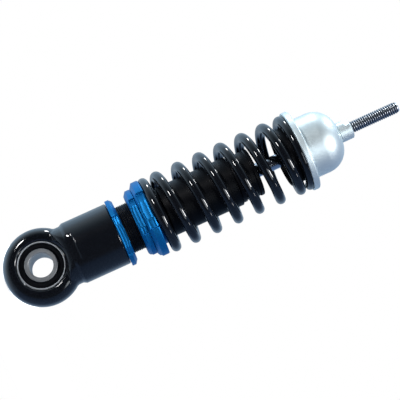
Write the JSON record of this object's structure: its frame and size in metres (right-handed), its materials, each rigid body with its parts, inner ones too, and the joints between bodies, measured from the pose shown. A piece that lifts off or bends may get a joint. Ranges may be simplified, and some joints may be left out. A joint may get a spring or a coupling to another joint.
{
  "type": "coil-over suspension strut",
  "caption": "Height-adjustable coil-over strut with a rubber-bushed eye at one end, a threaded damper tube with notched rings, a coil spring, and a domed cup with a threaded stud.",
  "frame": {"origin": "middle of the eye's bore, on the axis of the strut", "axes": "+Z along the strut from the eye to the stud, +Y along the eye's bore, +X across the strut"},
  "size_m": [0.0696, 0.0696, 0.3553],
  "materials": {
    "gloss_black": "high gloss black paint",
    "black_anodised": "satin black anodised",
    "blue_anodised": "blue anodised, fine turned finish",
    "machined_steel": "fine turned",
    "bright_zinc": "bright zinc",
    "satin_aluminium": "satin silver",
    "hard_chrome": "polished hard chrome",
    "brass": "machined",
    "bronze": "sintered bronze",
    "black_rubber": "moulded, matt",
    "cream_foam": "microcellular foam",
    "ptfe": "filled PTFE"
  },
  "bodies": {
    "eye_body": {"lower_eye_body": "gloss_black", "bush_outer_sleeve": "bright_zinc", "bush_rubber": "black_rubber"},
    "bush_core": {"bush_inner_sleeve": "machined_steel"},
    "jam": {"jam_ring": "blue_anodised"},
    "tube": {"damper_tube": "black_anodised", "end_cap": "black_anodised", "seal_head": "satin_aluminium", "seal_head_o_ring": "black_rubber", "rod_guide_bush": "bronze", "rod_seal": "black_rubber", "rod_wiper": "black_rubber", "base_plug": "satin_aluminium", "base_plug_o_ring": "black_rubber", "gas_valve": "brass"},
    "gas_piston": {"floating_piston": "satin_aluminium", "floating_piston_o_ring": "black_rubber"},
    "spring_base": {"spring": "gloss_black"},
    "adjuster": {"adjuster_ring": "blue_anodised"},
    "lock": {"lock_ring": "blue_anodised"},
    "stroke": {"piston_band": "ptfe"},
    "rod": {"piston_rod": "hard_chrome", "damper_piston": "bronze", "rebound_shims": "machined_steel", "compression_shims": "machined_steel", "piston_nut": "bright_zinc", "top_out_bumper": "black_rubber", "upper_spring_cup": "satin_aluminium", "shoulder_washer": "bright_zinc", "neck_nut": "satin_aluminium", "bump_stop": "cream_foam"}
  },
  "joints": [
    {"name": "bush_twist", "type": "hinge", "parent": "eye_body", "child": "bush_core", "pos_m": [0, 0, 0], "axis": [0, 1, 0], "range_deg": [-15, 15], "stiffness_Nm_per_rad": 60},
    {"name": "jam_turn", "type": "hinge", "parent": "eye_body", "child": "jam", "pos_m": [0, 0, 0.0703], "axis": [0, 0, 1], "range_deg": [0, 60]},
    {"name": "length_travel", "type": "slide", "parent": "eye_body", "child": "tube", "axis": [0, 0, 1], "range_m": [-0.002, 0.006]},
    {"name": "gas_piston_travel", "type": "slide", "parent": "tube", "child": "gas_piston", "axis": [0, 0, -1], "range_m": [0, 0.0054]},
    {"name": "preload_travel", "type": "slide", "parent": "tube", "child": "spring_base", "axis": [0, 0, 1], "range_m": [-0.0075, 0]},
    {"name": "adjuster_turn", "type": "hinge", "parent": "spring_base", "child": "adjuster", "pos_m": [0, 0, 0.095], "axis": [0, 0, 1], "range_deg": [-1801, 0]},
    {"name": "lock_turn", "type": "hinge", "parent": "spring_base", "child": "lock", "pos_m": [0, 0, 0.087], "axis": [0, 0, 1], "range_deg": [-1801, 0]},
    {"name": "rod_stroke", "type": "slide", "parent": "tube", "child": "stroke", "axis": [0, 0, -1], "range_m": [0, 0.048], "stiffness_N_per_m": 25000, "deforming": ["spring", "bump_stop"]},
    {"name": "rod_spin", "type": "hinge", "parent": "stroke", "child": "rod", "pos_m": [0, 0, 0.13], "axis": [0, 0, 1], "continuous": true}
  ],
  "couplings": [
    {"joint": "gas_piston_travel", "follows": "rod_stroke", "ratio": 0.111},
    {"joint": "adjuster_turn", "follows": "preload_travel", "rad_per_m": 4188.8},
    {"joint": "lock_turn", "follows": "preload_travel", "rad_per_m": 4188.8}
  ]
}
